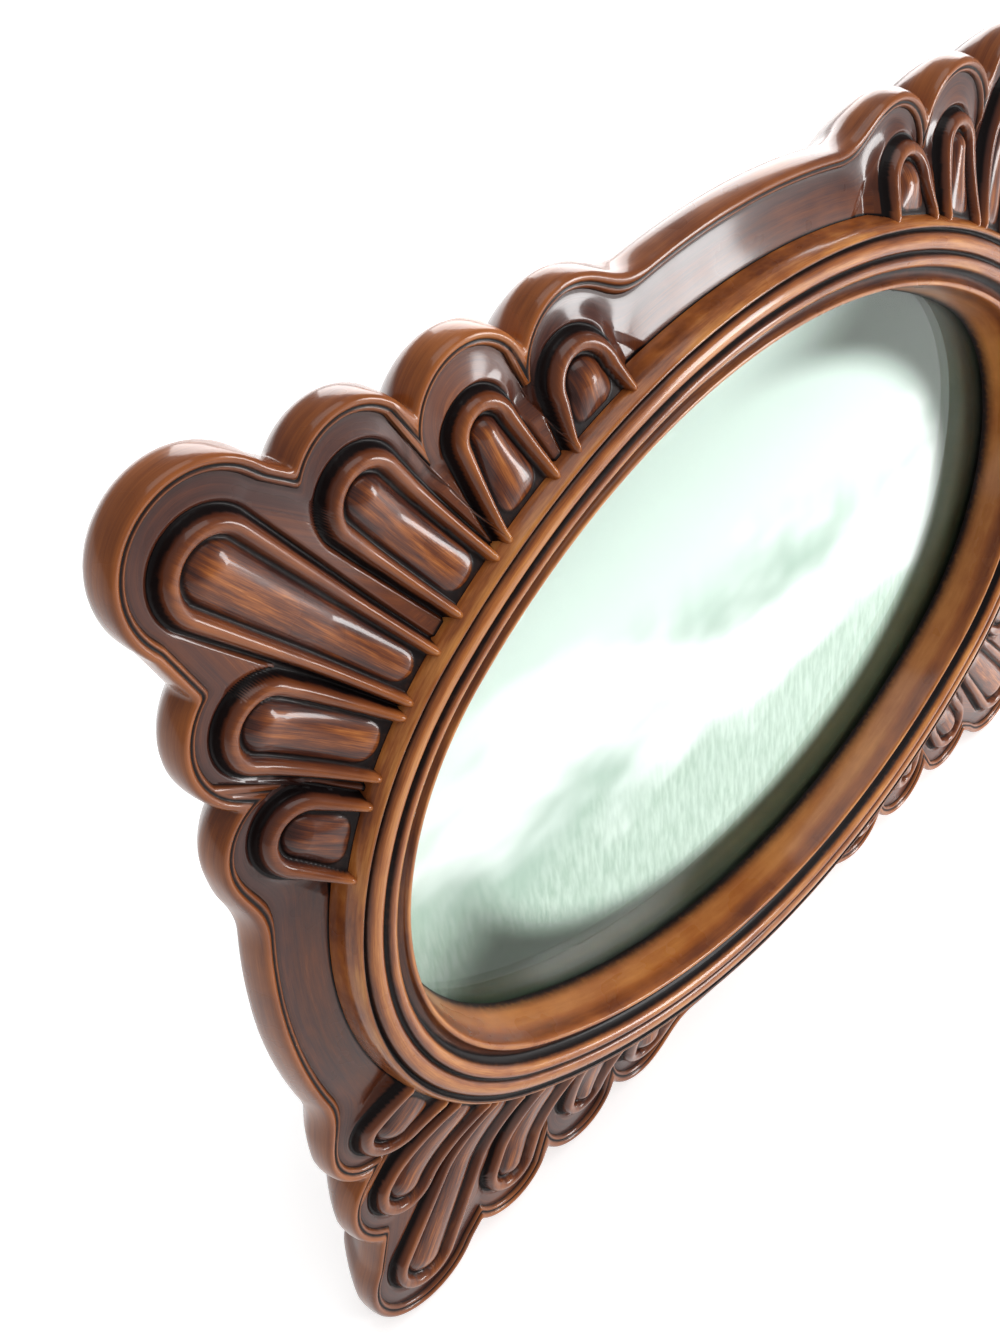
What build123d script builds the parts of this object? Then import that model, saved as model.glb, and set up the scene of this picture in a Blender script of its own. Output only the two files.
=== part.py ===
"""Oval picture frame with a carved shell in each corner, leaning on a folding easel leg.

Each piece is drawn flat: X to the right, Y up the picture, Z out of the picture towards the viewer,
with Z zero on the crest of the outer rim. The finished set is then leaned back and stood on Z zero.
"""
import os
from math import atan2, cos, degrees, radians, sin

from build123d import *

# Picture and stack behind the ledge
PHOTO_WIDTH = 177.8
PHOTO_HEIGHT = 127.0
LEDGE_OVERLAP = 6.4
POCKET_CLEARANCE = 0.4
GLASS_THICKNESS = 2.0
PRINT_THICKNESS = 0.3
FILLER_THICKNESS = 1.2
BOARD_THICKNESS = 2.4
FLOCK_THICKNESS = 0.4

# Oval opening: four tangent arcs, the end radius as a share of half the opening's height
END_RADIUS_SHARE = 0.788

# Heights above and below the crest of the outer rim
LEDGE_DEPTH = 4.2
FIELD_DEPTH = 0.8
GROOVE_DEPTH = 1.8
LOBE_HEIGHT = 1.3

# Oval moulding, measured outwards from the sight edge
LIP_RUN = 2.5
LIP_HEIGHT = 4.6
COVE_FLOOR_RUN = 5.2
COVE_FLOOR_HEIGHT = 3.9
COVE_SAG = 0.45
INNER_BEAD_RUN = 8.0
INNER_BEAD_HEIGHT = 6.1
INNER_GROOVE_HEIGHT = 5.1
MIDDLE_BEAD_RUN = 11.5
MIDDLE_BEAD_HEIGHT = 6.2
OUTER_GROOVE_HEIGHT = 4.8
OUTER_BEAD_RUN = 13.6
OUTER_BEAD_HEIGHT = 5.3
OUTER_BEAD_FOOT_HEIGHT = 3.2

# Outline of the frame: rails crowned by shallow arcs, on a body that stays inside them
SIDE_FIELD = 9.2
TOP_FIELD = 9.7
SIDE_RAIL_RADIUS = 85.0
TOP_RAIL_RADIUS = 127.0
RAIL_END_INSET = 3.2
RAIL_RISE = 3.4
SIDE_BOW = 16.0
TOP_BOW = 12.0
RIM_WIDTH = 2.2
SHOULDER_RADIUS = 7.0
WALL_FRONT_DEPTH = 4.0
WALL_LIP = 0.2
WALL_BACK_INSET = 4.2

# Scallops of the outline in the upper right corner; shares run along the rail from its middle
CORNER_SCALLOP_SIDE_INSET = 10.9
CORNER_SCALLOP_TOP_INSET = 7.4
CORNER_SCALLOP_RADIUS = 12.2
CORNER_SCALLOP_ROOT_RADIUS = 22.0
TOP_SCALLOP_PROUD = 2.1
TOP_ONE_SCALLOP_SHARE = 0.698
TOP_ONE_SCALLOP_RADIUS = 10.2
TOP_TWO_SCALLOP_SHARE = 0.520
TOP_TWO_SCALLOP_RADIUS = 10.3
TOP_THREE_SCALLOP_SHARE = 0.349
TOP_THREE_SCALLOP_RADIUS = 9.9
SIDE_ONE_SCALLOP_SHARE = 0.621
SIDE_ONE_SCALLOP_RADIUS = 11.6
SIDE_TWO_SCALLOP_SHARE = 0.400
SIDE_TWO_SCALLOP_RADIUS = 9.5

# Shell lobes in the upper right corner: tip place and radius, root half width, root angle round the oval
CORNER_TIP_SIDE_INSET = 11.3
CORNER_TIP_TOP_INSET = 9.1
CORNER_TIP_RADIUS = 6.8
CORNER_ROOT_RADIUS = 4.4
CORNER_ROOT_ANGLE = 51.5
TOP_TIP_INSET = 10.9
TOP_ONE_TIP_SHARE = 0.692
TOP_ONE_TIP_RADIUS = 6.0
TOP_ONE_ROOT_RADIUS = 5.1
TOP_ONE_ROOT_ANGLE = 59.2
TOP_TWO_TIP_SHARE = 0.516
TOP_TWO_TIP_RADIUS = 5.2
TOP_TWO_ROOT_RADIUS = 6.0
TOP_TWO_ROOT_ANGLE = 65.1
TOP_THREE_TIP_SHARE = 0.357
TOP_THREE_TIP_RADIUS = 6.1
TOP_THREE_ROOT_RADIUS = 6.7
TOP_THREE_ROOT_ANGLE = 72.5
SIDE_TIP_INSET = 11.6
SIDE_ONE_TIP_SHARE = 0.613
SIDE_ONE_TIP_RADIUS = 6.4
SIDE_ONE_ROOT_RADIUS = 5.0
SIDE_ONE_ROOT_ANGLE = 41.7
SIDE_TWO_TIP_SHARE = 0.397
SIDE_TWO_TIP_RADIUS = 6.1
SIDE_TWO_ROOT_RADIUS = 6.0
SIDE_TWO_ROOT_ANGLE = 28.7
RIDGE_WIDTH = 1.8
PAD_GAP = 0.6
GROOVE_WIDTH = 1.3
LOBE_CHAMFER = 0.5
ROOT_BURY = 4.0

# Turn buttons and their screws
BUTTON_PLACE_X = 58.0
BUTTON_LENGTH = 20.0
BUTTON_WIDTH = 8.0
BUTTON_THICKNESS = 1.0
BUTTON_EDGE = 5.0
SCREW_SHANK_RADIUS = 1.5
SCREW_HEAD_RADIUS = 3.0
SCREW_HEAD_HEIGHT = 1.6
SCREW_LENGTH = 6.0
SCREW_SLOT_WIDTH = 0.8
SCREW_SLOT_DEPTH = 0.7
RUNNING_CLEARANCE = 0.06
LIFT_CLEARANCE = 0.3

# Saw-tooth hangers and their nails
HANGER_LENGTH = 44.0
HANGER_WIDTH = 8.0
HANGER_THICKNESS = 0.9
HANGER_STANDOFF = 1.7
HANGER_TAB = 6.5
HANGER_TOOTH_PITCH = 2.6
HANGER_TOOTH_DEPTH = 1.4
HANGER_TOOTH_COUNT = 9
NAIL_SHANK_RADIUS = 0.8
NAIL_HEAD_RADIUS = 1.8
NAIL_HEAD_HEIGHT = 0.7
NAIL_LENGTH = 5.0

# Easel leg, hinge and ribbon
LEAN_ANGLE = 16.0
LEG_OPEN_ANGLE = 30.0
HINGE_TOP_MARGIN = 25.5
PIN_RADIUS = 1.0
KNUCKLE_GAP = 0.3
HINGE_WIDTH = 32.0
HINGE_CENTRE_WIDTH = 12.0
LEAF_LENGTH = 15.0
LEAF_THICKNESS = 0.8
RIVET_RADIUS = 1.3
RIVET_HEAD_RADIUS = 2.4
RIVET_HEAD_HEIGHT = 0.9
RIVET_SPACING = 21.0
RIVET_REACH = 9.0
LEG_THICKNESS = 2.2
LEG_FLOCK_THICKNESS = 0.4
LEG_TOP_WIDTH = 40.0
LEG_FOOT_WIDTH = 58.0
LEG_REST_GAP = 1.3
LEG_TOP_GAP = 0.5
LEG_CORNER_RADIUS = 4.0
RIBBON_WIDTH = 10.0
RIBBON_THICKNESS = 0.4
RIBBON_TAB = 7.0
RIBBON_BOARD_REACH = 72.0
RIBBON_LEG_REACH = 82.0
STAPLE_WIRE = 0.6
STAPLE_LENGTH = 1.6
CUT_OVERRUN = 1.0

# Sizes that follow from the ones above
STACK = GLASS_THICKNESS + PRINT_THICKNESS + FILLER_THICKNESS + BOARD_THICKNESS + FLOCK_THICKNESS
LEDGE_Z = -LEDGE_DEPTH
BACK_Z = LEDGE_Z - STACK
POCKET_WIDTH = PHOTO_WIDTH + 2 * POCKET_CLEARANCE
POCKET_HEIGHT = PHOTO_HEIGHT + 2 * POCKET_CLEARANCE
HALF_SIGHT_WIDTH = PHOTO_WIDTH / 2 - LEDGE_OVERLAP
HALF_SIGHT_HEIGHT = PHOTO_HEIGHT / 2 - LEDGE_OVERLAP
SIGHT_END_RADIUS = END_RADIUS_SHARE * HALF_SIGHT_HEIGHT
SIDE_REACH = HALF_SIGHT_WIDTH + OUTER_BEAD_RUN + SIDE_FIELD
TOP_REACH = HALF_SIGHT_HEIGHT + OUTER_BEAD_RUN + TOP_FIELD
CORNER_SCALLOP_TIP = (SIDE_REACH - CORNER_SCALLOP_SIDE_INSET, TOP_REACH - CORNER_SCALLOP_TOP_INSET)
HINGE_PLACE_Y = PHOTO_HEIGHT / 2 - HINGE_TOP_MARGIN
KNUCKLE_RADIUS = (LEG_REST_GAP + LEG_THICKNESS + LEG_FLOCK_THICKNESS) / 2
HINGE_STANDOFF = LEAF_THICKNESS / 2 + KNUCKLE_RADIUS
HINGE_Z = BACK_Z - HINGE_STANDOFF
LEG_REAR_Z = LEAF_THICKNESS / 2 - KNUCKLE_RADIUS
LEG_FRONT_Z = LEG_REAR_Z + LEG_FLOCK_THICKNESS + LEG_THICKNESS
BOARD_RIVET_DEPTH = LEAF_THICKNESS + FLOCK_THICKNESS + BOARD_THICKNESS
LEG_RIVET_DEPTH = LEAF_THICKNESS + LEG_FLOCK_THICKNESS + LEG_THICKNESS
HINGE = Pos(0, HINGE_PLACE_Y, HINGE_Z)
OPEN_LEG = HINGE * Rot(LEG_OPEN_ANGLE, 0, 0)
LEAN_RISE = cos(radians(LEAN_ANGLE))
LEAN_RUN = sin(radians(LEAN_ANGLE))
FOOT_Y = CORNER_SCALLOP_TIP[1] + CORNER_SCALLOP_RADIUS
STAND_HEIGHT = max(
    FOOT_Y * LEAN_RISE + WALL_FRONT_DEPTH * LEAN_RUN,
    (FOOT_Y - WALL_BACK_INSET) * LEAN_RISE - BACK_Z * LEAN_RUN,
)
HINGE_HEIGHT = STAND_HEIGHT + HINGE_PLACE_Y * LEAN_RISE + HINGE_Z * LEAN_RUN
LEG_REACH = HINGE_HEIGHT / cos(radians(LEG_OPEN_ANGLE - LEAN_ANGLE)) + 2 * KNUCKLE_RADIUS
LEAN = Plane((0, 0, STAND_HEIGHT), x_dir=(1, 0, 0), z_dir=(0, -LEAN_RISE, LEAN_RUN)).location


def oval_centres():
    """Centre distance of the end arcs, centre distance and radius of the long arcs, and the joint angle."""
    end_centre = HALF_SIGHT_WIDTH - SIGHT_END_RADIUS
    long_radius = (end_centre**2 + HALF_SIGHT_HEIGHT**2 - SIGHT_END_RADIUS**2) / (
        2 * (HALF_SIGHT_HEIGHT - SIGHT_END_RADIUS)
    )
    long_centre = long_radius - HALF_SIGHT_HEIGHT
    joint_angle = degrees(atan2(long_centre, end_centre))
    return end_centre, long_centre, long_radius, joint_angle


def oval_face(run):
    """Face of the oval that lies a given run outside the sight edge."""
    end_centre, long_centre, long_radius, joint_angle = oval_centres()
    end_radius = SIGHT_END_RADIUS + run
    joint_x = end_centre + end_radius * cos(radians(joint_angle))
    joint_y = end_radius * sin(radians(joint_angle))
    right = ThreePointArc((joint_x, -joint_y), (HALF_SIGHT_WIDTH + run, 0), (joint_x, joint_y))
    top = ThreePointArc((joint_x, joint_y), (0, HALF_SIGHT_HEIGHT + run), (-joint_x, joint_y))
    left = ThreePointArc((-joint_x, joint_y), (-HALF_SIGHT_WIDTH - run, 0), (-joint_x, -joint_y))
    bottom = ThreePointArc((-joint_x, -joint_y), (0, -HALF_SIGHT_HEIGHT - run), (joint_x, -joint_y))
    return make_face(Wire([right, top, left, bottom]))


def moulding_profile():
    """Section of the oval moulding: run outwards from the sight edge, against height."""
    sight = (0, LEDGE_Z)
    lip = (LIP_RUN, LIP_HEIGHT)
    cove_floor = (COVE_FLOOR_RUN, COVE_FLOOR_HEIGHT)
    cove_middle = ((LIP_RUN + COVE_FLOOR_RUN) / 2, (LIP_HEIGHT + COVE_FLOOR_HEIGHT) / 2 - COVE_SAG)
    inner_groove = (INNER_BEAD_RUN, INNER_GROOVE_HEIGHT)
    inner_crest = ((COVE_FLOOR_RUN + INNER_BEAD_RUN) / 2, INNER_BEAD_HEIGHT)
    outer_groove = (MIDDLE_BEAD_RUN, OUTER_GROOVE_HEIGHT)
    middle_crest = ((INNER_BEAD_RUN + MIDDLE_BEAD_RUN) / 2, MIDDLE_BEAD_HEIGHT)
    outer_foot = (OUTER_BEAD_RUN, OUTER_BEAD_FOOT_HEIGHT)
    outer_crest = ((MIDDLE_BEAD_RUN + OUTER_BEAD_RUN) / 2, OUTER_BEAD_HEIGHT)
    base = (OUTER_BEAD_RUN, LEDGE_Z)
    edges = [
        Line(sight, lip),
        ThreePointArc(lip, cove_middle, cove_floor),
        ThreePointArc(cove_floor, inner_crest, inner_groove),
        ThreePointArc(inner_groove, middle_crest, outer_groove),
        ThreePointArc(outer_groove, outer_crest, outer_foot),
        Line(outer_foot, base),
        Line(base, sight),
    ]
    return make_face(Wire(edges))


def oval_moulding():
    """The four arcs of the oval moulding, each its section turned about that arc's centre."""
    end_centre, long_centre, long_radius, joint_angle = oval_centres()
    long_sweep = 2 * (90 - joint_angle)
    end_sweep = 2 * joint_angle
    arcs = [
        ((end_centre, 0), SIGHT_END_RADIUS, -joint_angle, end_sweep),
        ((0, -long_centre), long_radius, joint_angle, long_sweep),
        ((-end_centre, 0), SIGHT_END_RADIUS, 180 - joint_angle, end_sweep),
        ((0, long_centre), long_radius, 180 + joint_angle, long_sweep),
    ]
    ring = None
    for (x, y), radius, start, sweep in arcs:
        section = Plane.XZ * Pos(radius, 0) * moulding_profile()
        arc = Pos(x, y) * Rot(0, 0, start) * revolve(section, Axis.Z, sweep)
        ring = arc if ring is None else ring + arc
    return ring


def tapered_slot(tip, tip_radius, root, root_radius):
    """Face with a half-round tip and straight sides that run in to a square root."""
    along = Vector(tip[0] - root[0], tip[1] - root[1]).normalized()
    across = Vector(-along.Y, along.X)
    tip_centre = Vector(*tip)
    root_centre = Vector(*root)
    tip_left = tip_centre + across * tip_radius
    tip_right = tip_centre - across * tip_radius
    root_left = root_centre + across * root_radius
    root_right = root_centre - across * root_radius
    edges = [
        Line(root_left, tip_left),
        ThreePointArc(tip_left, tip_centre + along * tip_radius, tip_right),
        Line(tip_right, root_right),
        Line(root_right, root_left),
    ]
    return make_face(Wire(edges))


def root_place(angle):
    """Point on the foot of the oval moulding where its outward direction has a given angle."""
    end_centre, long_centre, long_radius, joint_angle = oval_centres()
    along, up = cos(radians(angle)), sin(radians(angle))
    if angle < joint_angle:
        radius = SIGHT_END_RADIUS + OUTER_BEAD_RUN
        return end_centre + radius * along, radius * up
    radius = long_radius + OUTER_BEAD_RUN
    return radius * along, radius * up - long_centre


def corner_lobe():
    """The long lobe that points into the corner: tip, tip radius, root, root half width."""
    tip = (SIDE_REACH - CORNER_TIP_SIDE_INSET, TOP_REACH - CORNER_TIP_TOP_INSET)
    return tip, CORNER_TIP_RADIUS, root_place(CORNER_ROOT_ANGLE), CORNER_ROOT_RADIUS


def top_lobe(share, tip_radius, root_radius, root_angle):
    """A lobe that points to the top rail: tip, tip radius, root, root half width."""
    tip = (share * SIDE_REACH, TOP_REACH - TOP_TIP_INSET)
    return tip, tip_radius, root_place(root_angle), root_radius


def side_lobe(share, tip_radius, root_radius, root_angle):
    """A lobe that points to the side rail: tip, tip radius, root, root half width."""
    tip = (SIDE_REACH - SIDE_TIP_INSET, share * TOP_REACH)
    return tip, tip_radius, root_place(root_angle), root_radius


def shell_lobes():
    """The six lobes of the shell in the upper right corner."""
    return [
        corner_lobe(),
        top_lobe(TOP_ONE_TIP_SHARE, TOP_ONE_TIP_RADIUS, TOP_ONE_ROOT_RADIUS, TOP_ONE_ROOT_ANGLE),
        top_lobe(TOP_TWO_TIP_SHARE, TOP_TWO_TIP_RADIUS, TOP_TWO_ROOT_RADIUS, TOP_TWO_ROOT_ANGLE),
        top_lobe(TOP_THREE_TIP_SHARE, TOP_THREE_TIP_RADIUS, TOP_THREE_ROOT_RADIUS, TOP_THREE_ROOT_ANGLE),
        side_lobe(SIDE_ONE_TIP_SHARE, SIDE_ONE_TIP_RADIUS, SIDE_ONE_ROOT_RADIUS, SIDE_ONE_ROOT_ANGLE),
        side_lobe(SIDE_TWO_TIP_SHARE, SIDE_TWO_TIP_RADIUS, SIDE_TWO_ROOT_RADIUS, SIDE_TWO_ROOT_ANGLE),
    ]


def top_scallop(share, radius):
    """Place and radius of a scallop that stands proud of the top rail."""
    return (share * SIDE_REACH, TOP_REACH + TOP_SCALLOP_PROUD - radius), radius


def side_scallop(share, radius):
    """Place and radius of a scallop that comes level with the side rail."""
    return (SIDE_REACH - radius, share * TOP_REACH), radius


TOP_THREE_SCALLOP = top_scallop(TOP_THREE_SCALLOP_SHARE, TOP_THREE_SCALLOP_RADIUS)
SIDE_TWO_SCALLOP = side_scallop(SIDE_TWO_SCALLOP_SHARE, SIDE_TWO_SCALLOP_RADIUS)
SCALLOPS = [
    top_scallop(TOP_ONE_SCALLOP_SHARE, TOP_ONE_SCALLOP_RADIUS),
    top_scallop(TOP_TWO_SCALLOP_SHARE, TOP_TWO_SCALLOP_RADIUS),
    TOP_THREE_SCALLOP,
    side_scallop(SIDE_ONE_SCALLOP_SHARE, SIDE_ONE_SCALLOP_RADIUS),
    SIDE_TWO_SCALLOP,
]


def four_corners(shape):
    """The shape and its mirror images in the other three corners."""
    right = [shape, mirror(shape, Plane.XZ)]
    return right + [mirror(item, Plane.YZ) for item in right]


def rail_face(reach, radius, span):
    """A rail along X crowned by an arc, its crest at a given height and its base at the frame's middle."""
    ends = reach - radius + (radius**2 - span**2) ** 0.5
    edges = [
        ThreePointArc((-span, ends), (0, reach), (span, ends)),
        Line((span, ends), (span, 0)),
        Line((span, 0), (-span, 0)),
        Line((-span, 0), (-span, ends)),
    ]
    return make_face(Wire(edges))


def body_face(side, top):
    """The body inside the rails: four shallow arcs."""
    x, y = side - SIDE_BOW, top - TOP_BOW
    arcs = [
        ThreePointArc((x, -y), (side, 0), (x, y)),
        ThreePointArc((x, y), (0, top), (-x, y)),
        ThreePointArc((-x, y), (-side, 0), (-x, -y)),
        ThreePointArc((-x, -y), (0, -top), (x, -y)),
    ]
    return make_face(Wire(arcs))


def outline_shapes(grow):
    """The faces that together make the frame's outline, each grown outwards by a given amount."""
    side, top = SIDE_REACH + grow, TOP_REACH + grow
    (shoulder_x, _), _ = TOP_THREE_SCALLOP
    (_, shoulder_y), _ = SIDE_TWO_SCALLOP
    body = body_face(side - RAIL_RISE, top - RAIL_RISE)
    top_rail = rail_face(top, TOP_RAIL_RADIUS + grow, shoulder_x - RAIL_END_INSET)
    side_rail = Rot(0, 0, -90) * rail_face(side, SIDE_RAIL_RADIUS + grow, shoulder_y - RAIL_END_INSET)
    corner = tapered_slot(
        CORNER_SCALLOP_TIP,
        CORNER_SCALLOP_RADIUS + grow,
        root_place(CORNER_ROOT_ANGLE),
        CORNER_SCALLOP_ROOT_RADIUS + grow,
    )
    circles = [Pos(*place) * Circle(radius + grow) for place, radius in SCALLOPS]
    rails = [top_rail, mirror(top_rail, Plane.XZ), side_rail, mirror(side_rail, Plane.YZ)]
    return [body, *rails, *[copy for shape in [corner, *circles] for copy in four_corners(shape)]]


def outline_face(grow):
    """Outline of the frame, grown outwards by a given amount, with its shoulders rounded."""
    body, *others = outline_shapes(grow)
    outline = body + others
    (shoulder_x, _), _ = TOP_THREE_SCALLOP
    (_, shoulder_y), _ = SIDE_TWO_SCALLOP
    shoulders = [v for v in outline.vertices() if abs(v.X) < shoulder_x or abs(v.Y) < shoulder_y]
    return fillet(shoulders, SHOULDER_RADIUS)


def wall_block():
    """The body of the frame: an upright wall at the front, and behind its lip a wall that draws in."""
    start = WALL_LIP - WALL_FRONT_DEPTH
    back_run = start - BACK_Z
    draw = degrees(atan2(WALL_BACK_INSET - WALL_LIP, back_run))
    front = extrude(outline_face(0), -WALL_FRONT_DEPTH)
    backs = [Pos(0, 0, start) * extrude(face, -back_run, taper=draw) for face in outline_shapes(-WALL_LIP)]
    return front + backs


def slab(face, bottom, top):
    """A face drawn out from one height to another."""
    return Pos(0, 0, bottom) * extrude(face, top - bottom)


def lobe_face(lobe, grow):
    """A lobe seen from the front, grown by a given amount, its root run on under the oval moulding."""
    tip, tip_radius, root, root_radius = lobe
    along = Vector(tip[0] - root[0], tip[1] - root[1]).normalized()
    buried = (root[0] - along.X * ROOT_BURY, root[1] - along.Y * ROOT_BURY)
    return tapered_slot(tip, tip_radius + grow, buried, root_radius + grow)


def lobe_solid(lobe):
    """A raised lobe: a rounded ridge in the shape of a U, a narrow groove, and a pad inside it."""
    body = slab(lobe_face(lobe, 0), -GROOVE_DEPTH, LOBE_HEIGHT)
    trench_face = lobe_face(lobe, -RIDGE_WIDTH) - lobe_face(lobe, -RIDGE_WIDTH - PAD_GAP)
    body -= slab(trench_face, -FIELD_DEPTH, LOBE_HEIGHT)
    tops = body.faces().filter_by(Axis.Z).group_by(Axis.Z)[-1]
    return chamfer(tops.edges(), LOBE_CHAMFER)


def screw_places():
    """Centres of the turn-button screws on the top and bottom rails, with the way each button points."""
    rail = POCKET_HEIGHT / 2 + BUTTON_EDGE
    return [(x, y, -1 if y > 0 else 1) for y in (rail, -rail) for x in (-BUTTON_PLACE_X, BUTTON_PLACE_X)]


def hanger_places():
    """Places of the two saw-tooth hangers: top rail, and left rail turned for upright hanging."""
    top = Pos(0, POCKET_HEIGHT / 2 + BUTTON_EDGE, BACK_Z)
    side = Pos(-POCKET_WIDTH / 2 - BUTTON_EDGE, 0, BACK_Z) * Rot(0, 0, 90)
    return [top, side]


def frame_moulding(fixings):
    """The casting: outline, rim, shells, oval moulding, and the pocket behind for the glass and boards."""
    body = wall_block()
    body -= slab(outline_face(-RIM_WIDTH), -FIELD_DEPTH, CUT_OVERRUN)
    grooves = [slab(lobe_face(lobe, GROOVE_WIDTH), -GROOVE_DEPTH, CUT_OVERRUN) for lobe in shell_lobes()]
    body -= [copy for groove in grooves for copy in four_corners(groove)]
    body -= slab(oval_face((INNER_BEAD_RUN + MIDDLE_BEAD_RUN) / 2), BACK_Z - CUT_OVERRUN, CUT_OVERRUN)
    lobes = [copy for lobe in shell_lobes() for copy in four_corners(lobe_solid(lobe))]
    body += oval_moulding()
    body += lobes
    body -= slab(Rectangle(POCKET_WIDTH, POCKET_HEIGHT), BACK_Z - CUT_OVERRUN, LEDGE_Z)
    return body - fixings


def sheet(bottom, thickness):
    """One flat sheet of the stack in the pocket."""
    return slab(Rectangle(PHOTO_WIDTH, PHOTO_HEIGHT), bottom, bottom + thickness)


def turn_button(x, y, way):
    """A flat plate with round ends that turns on its screw and holds the back board in."""
    plate = Pos(way * (BUTTON_LENGTH - BUTTON_WIDTH) / 2) * SlotOverall(BUTTON_LENGTH, BUTTON_WIDTH)
    plate -= Circle(SCREW_SHANK_RADIUS + RUNNING_CLEARANCE)
    top = BACK_Z - LIFT_CLEARANCE
    return Pos(x, y) * Rot(0, 0, 90) * slab(plate, top - BUTTON_THICKNESS, top)


def turn_button_screw(x, y):
    """Round-headed screw with a straight slot; the button turns under its head."""
    head_top = BACK_Z - 2 * LIFT_CLEARANCE - BUTTON_THICKNESS
    head = slab(Circle(SCREW_HEAD_RADIUS), head_top - SCREW_HEAD_HEIGHT, head_top)
    crown = head.faces().sort_by(Axis.Z)[0].edges()
    head = fillet(crown, SCREW_HEAD_HEIGHT / 2)
    slot_bottom = head_top - SCREW_HEAD_HEIGHT
    slot_face = Rectangle(2 * SCREW_HEAD_RADIUS, SCREW_SLOT_WIDTH)
    head -= slab(slot_face, slot_bottom, slot_bottom + SCREW_SLOT_DEPTH)
    shank = slab(Circle(SCREW_SHANK_RADIUS), head_top, BACK_Z + SCREW_LENGTH)
    return Pos(x, y) * (head + shank)


def saw_tooth_hanger():
    """A bowed strip with teeth along its lower edge, flat tabs at the ends."""
    half = HANGER_LENGTH / 2
    rise = half - HANGER_TAB
    flat = rise - HANGER_STANDOFF
    outer = HANGER_STANDOFF + HANGER_THICKNESS
    points = [
        (-half, 0),
        (-rise, 0),
        (-flat, -HANGER_STANDOFF),
        (flat, -HANGER_STANDOFF),
        (rise, 0),
        (half, 0),
        (half, -HANGER_THICKNESS),
        (rise + HANGER_THICKNESS / 2, -HANGER_THICKNESS),
        (flat + HANGER_THICKNESS / 2, -outer),
        (-flat - HANGER_THICKNESS / 2, -outer),
        (-rise - HANGER_THICKNESS / 2, -HANGER_THICKNESS),
        (-half, -HANGER_THICKNESS),
    ]
    side = Plane.XZ * make_face(Polyline(points, close=True))
    strip = extrude(side, HANGER_WIDTH / 2, both=True)
    half_pitch = HANGER_TOOTH_PITCH / 2
    notch = Polyline([(-half_pitch, 0), (half_pitch, 0), (0, HANGER_TOOTH_DEPTH)], close=True)
    tooth_gap = slab(make_face(notch), -outer - CUT_OVERRUN, 0)
    first = -HANGER_TOOTH_PITCH * (HANGER_TOOTH_COUNT - 1) / 2
    gaps = [
        Pos(first + i * HANGER_TOOTH_PITCH, -HANGER_WIDTH / 2) * tooth_gap for i in range(HANGER_TOOTH_COUNT)
    ]
    return strip - gaps


def hanger_nails():
    """The two nails of a hanger, in the hanger's own frame."""
    reach = (HANGER_LENGTH - HANGER_TAB) / 2
    head = slab(Circle(NAIL_HEAD_RADIUS), -HANGER_THICKNESS - NAIL_HEAD_HEIGHT, -HANGER_THICKNESS)
    nail = head + slab(Circle(NAIL_SHANK_RADIUS), -HANGER_THICKNESS, NAIL_LENGTH)
    return [Pos(x) * nail for x in (-reach, reach)]


def knuckle(start, end, bore):
    """One tube of the hinge along X, in the hinge's own frame."""
    tube = extrude(Circle(KNUCKLE_RADIUS) - Circle(bore), end - start)
    return Pos(start) * Rot(0, 90, 0) * tube


def hinge_pin():
    """The hinge pin with its two peened ends."""
    pin = knuckle_pin(PIN_RADIUS, -HINGE_WIDTH / 2, HINGE_WIDTH / 2)
    end = (PIN_RADIUS + KNUCKLE_RADIUS) / 2
    pin += knuckle_pin(end, -HINGE_WIDTH / 2 - LEAF_THICKNESS, -HINGE_WIDTH / 2)
    pin += knuckle_pin(end, HINGE_WIDTH / 2, HINGE_WIDTH / 2 + LEAF_THICKNESS)
    return HINGE * pin


def knuckle_pin(radius, start, end):
    """A round bar along X, in the hinge's own frame."""
    return Pos(start) * Rot(0, 90, 0) * extrude(Circle(radius), end - start)


def hinge_board_leaf():
    """The fixed leaf: a plate on the back board with a tube at each side."""
    centre = HINGE_CENTRE_WIDTH / 2 + KNUCKLE_GAP
    plate = Pos(0, LEAF_LENGTH / 2) * Rectangle(HINGE_WIDTH, LEAF_LENGTH)
    plate -= Rectangle(2 * centre, 2 * (KNUCKLE_RADIUS + LIFT_CLEARANCE))
    leaf = slab(plate, HINGE_STANDOFF - LEAF_THICKNESS, HINGE_STANDOFF)
    leaf += knuckle(centre, HINGE_WIDTH / 2, PIN_RADIUS)
    leaf += knuckle(-HINGE_WIDTH / 2, -centre, PIN_RADIUS)
    return HINGE * (leaf - knuckle_pin(PIN_RADIUS, -HINGE_WIDTH / 2, HINGE_WIDTH / 2))


def hinge_leg_leaf():
    """The moving leaf: a plate on the rear of the leg with the middle tube."""
    centre = HINGE_CENTRE_WIDTH / 2
    bore = PIN_RADIUS + RUNNING_CLEARANCE
    plate = Pos(0, -LEAF_LENGTH / 2) * Rectangle(HINGE_WIDTH, LEAF_LENGTH)
    for side in (-1, 1):
        corner_x = side * (HINGE_WIDTH / 4 + centre / 2)
        corner = Rectangle(HINGE_WIDTH / 2 - centre, 2 * (KNUCKLE_RADIUS + LIFT_CLEARANCE))
        plate -= Pos(corner_x) * corner
    leaf = slab(plate, LEG_REAR_Z - LEAF_THICKNESS, LEG_REAR_Z)
    leaf += knuckle(-centre, centre, bore)
    return OPEN_LEG * (leaf - knuckle_pin(bore, -HINGE_WIDTH / 2, HINGE_WIDTH / 2))


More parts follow.
